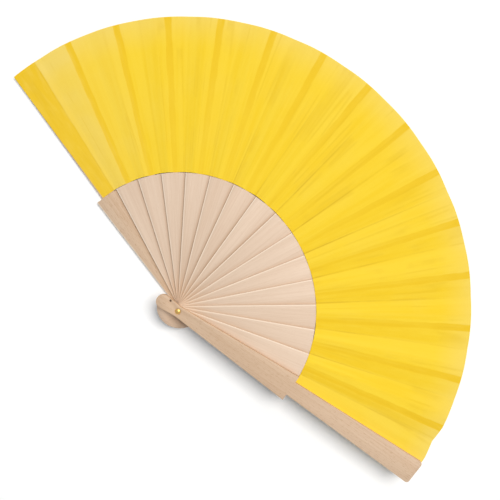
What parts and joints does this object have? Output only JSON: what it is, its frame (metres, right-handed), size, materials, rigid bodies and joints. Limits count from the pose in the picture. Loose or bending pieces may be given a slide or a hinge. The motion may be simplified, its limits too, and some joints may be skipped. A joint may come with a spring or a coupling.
{
  "type": "folding hand fan",
  "caption": "Folding hand fan with wooden sticks turning on a brass rivet and a pleated cloth leaf that closes between two guards.",
  "frame": {"origin": "on the rivet's axis, at the back guard's outer face, on which the fan lies", "axes": "+Z along the rivet from the back guard to the front guard, +Y along the open fan's middle, +X towards the front guard's side"},
  "size_m": [0.411, 0.2243, 0.0226],
  "materials": {
    "guard_wood": "bare sanded beech, matt",
    "stick_wood": "bare pale veneer, matt",
    "leaf_fabric": "thin plain-weave cloth, matt",
    "rivet_brass": "polished dome",
    "washer_brass": "plain"
  },
  "bodies": {
    "back_guard": {"back_guard": "guard_wood", "rivet": "rivet_brass", "rivet_washer": "washer_brass", "leaf_panel_01": "leaf_fabric"},
    "stick_01": {"stick_01": "stick_wood", "leaf_panel_02": "leaf_fabric"},
    "stick_02": {"stick_02": "stick_wood", "leaf_panel_03": "leaf_fabric"},
    "stick_03": {"stick_03": "stick_wood", "leaf_panel_04": "leaf_fabric"},
    "stick_04": {"stick_04": "stick_wood", "leaf_panel_05": "leaf_fabric"},
    "stick_05": {"stick_05": "stick_wood", "leaf_panel_06": "leaf_fabric"},
    "stick_06": {"stick_06": "stick_wood", "leaf_panel_07": "leaf_fabric"},
    "stick_07": {"stick_07": "stick_wood", "leaf_panel_08": "leaf_fabric"},
    "stick_08": {"stick_08": "stick_wood", "leaf_panel_09": "leaf_fabric"},
    "stick_09": {"stick_09": "stick_wood", "leaf_panel_10": "leaf_fabric"},
    "stick_10": {"stick_10": "stick_wood", "leaf_panel_11": "leaf_fabric"},
    "stick_11": {"stick_11": "stick_wood", "leaf_panel_12": "leaf_fabric"},
    "stick_12": {"stick_12": "stick_wood", "leaf_panel_13": "leaf_fabric"},
    "stick_13": {"stick_13": "stick_wood", "leaf_panel_14": "leaf_fabric"},
    "stick_14": {"stick_14": "stick_wood", "leaf_panel_15": "leaf_fabric"},
    "front_guard": {"front_guard": "guard_wood"}
  },
  "joints": [
    {"name": "fold_01", "type": "hinge", "parent": "back_guard", "child": "stick_01", "pos_m": [0, 0, 0], "axis": [0, 0, 1], "range_deg": [0, 10.5]},
    {"name": "fold_02", "type": "hinge", "parent": "stick_01", "child": "stick_02", "pos_m": [0, 0, 0], "axis": [0, 0, 1], "range_deg": [0, 10.5]},
    {"name": "fold_03", "type": "hinge", "parent": "stick_02", "child": "stick_03", "pos_m": [0, 0, 0], "axis": [0, 0, 1], "range_deg": [0, 10.5]},
    {"name": "fold_04", "type": "hinge", "parent": "stick_03", "child": "stick_04", "pos_m": [0, 0, 0], "axis": [0, 0, 1], "range_deg": [0, 10.5]},
    {"name": "fold_05", "type": "hinge", "parent": "stick_04", "child": "stick_05", "pos_m": [0, 0, 0], "axis": [0, 0, 1], "range_deg": [0, 10.5]},
    {"name": "fold_06", "type": "hinge", "parent": "stick_05", "child": "stick_06", "pos_m": [0, 0, 0], "axis": [0, 0, 1], "range_deg": [0, 10.5]},
    {"name": "fold_07", "type": "hinge", "parent": "stick_06", "child": "stick_07", "pos_m": [0, 0, 0], "axis": [0, 0, 1], "range_deg": [0, 10.5]},
    {"name": "fold_08", "type": "hinge", "parent": "stick_07", "child": "stick_08", "pos_m": [0, 0, 0], "axis": [0, 0, 1], "range_deg": [0, 10.5]},
    {"name": "fold_09", "type": "hinge", "parent": "stick_08", "child": "stick_09", "pos_m": [0, 0, 0], "axis": [0, 0, 1], "range_deg": [0, 10.5]},
    {"name": "fold_10", "type": "hinge", "parent": "stick_09", "child": "stick_10", "pos_m": [0, 0, 0], "axis": [0, 0, 1], "range_deg": [0, 10.5]},
    {"name": "fold_11", "type": "hinge", "parent": "stick_10", "child": "stick_11", "pos_m": [0, 0, 0], "axis": [0, 0, 1], "range_deg": [0, 10.5]},
    {"name": "fold_12", "type": "hinge", "parent": "stick_11", "child": "stick_12", "pos_m": [0, 0, 0], "axis": [0, 0, 1], "range_deg": [0, 10.5]},
    {"name": "fold_13", "type": "hinge", "parent": "stick_12", "child": "stick_13", "pos_m": [0, 0, 0], "axis": [0, 0, 1], "range_deg": [0, 10.5]},
    {"name": "fold_14", "type": "hinge", "parent": "stick_13", "child": "stick_14", "pos_m": [0, 0, 0], "axis": [0, 0, 1], "range_deg": [0, 10.5]},
    {"name": "fold_15", "type": "hinge", "parent": "stick_14", "child": "front_guard", "pos_m": [0, 0, 0], "axis": [0, 0, 1], "range_deg": [0, 10.5]}
  ],
  "couplings": [
    {"joint": "fold_02", "follows": "fold_01", "ratio": 1},
    {"joint": "fold_03", "follows": "fold_01", "ratio": 1},
    {"joint": "fold_04", "follows": "fold_01", "ratio": 1},
    {"joint": "fold_05", "follows": "fold_01", "ratio": 1},
    {"joint": "fold_06", "follows": "fold_01", "ratio": 1},
    {"joint": "fold_07", "follows": "fold_01", "ratio": 1},
    {"joint": "fold_08", "follows": "fold_01", "ratio": 1},
    {"joint": "fold_09", "follows": "fold_01", "ratio": 1},
    {"joint": "fold_10", "follows": "fold_01", "ratio": 1},
    {"joint": "fold_11", "follows": "fold_01", "ratio": 1},
    {"joint": "fold_12", "follows": "fold_01", "ratio": 1},
    {"joint": "fold_13", "follows": "fold_01", "ratio": 1},
    {"joint": "fold_14", "follows": "fold_01", "ratio": 1},
    {"joint": "fold_15", "follows": "fold_01", "ratio": 1}
  ]
}
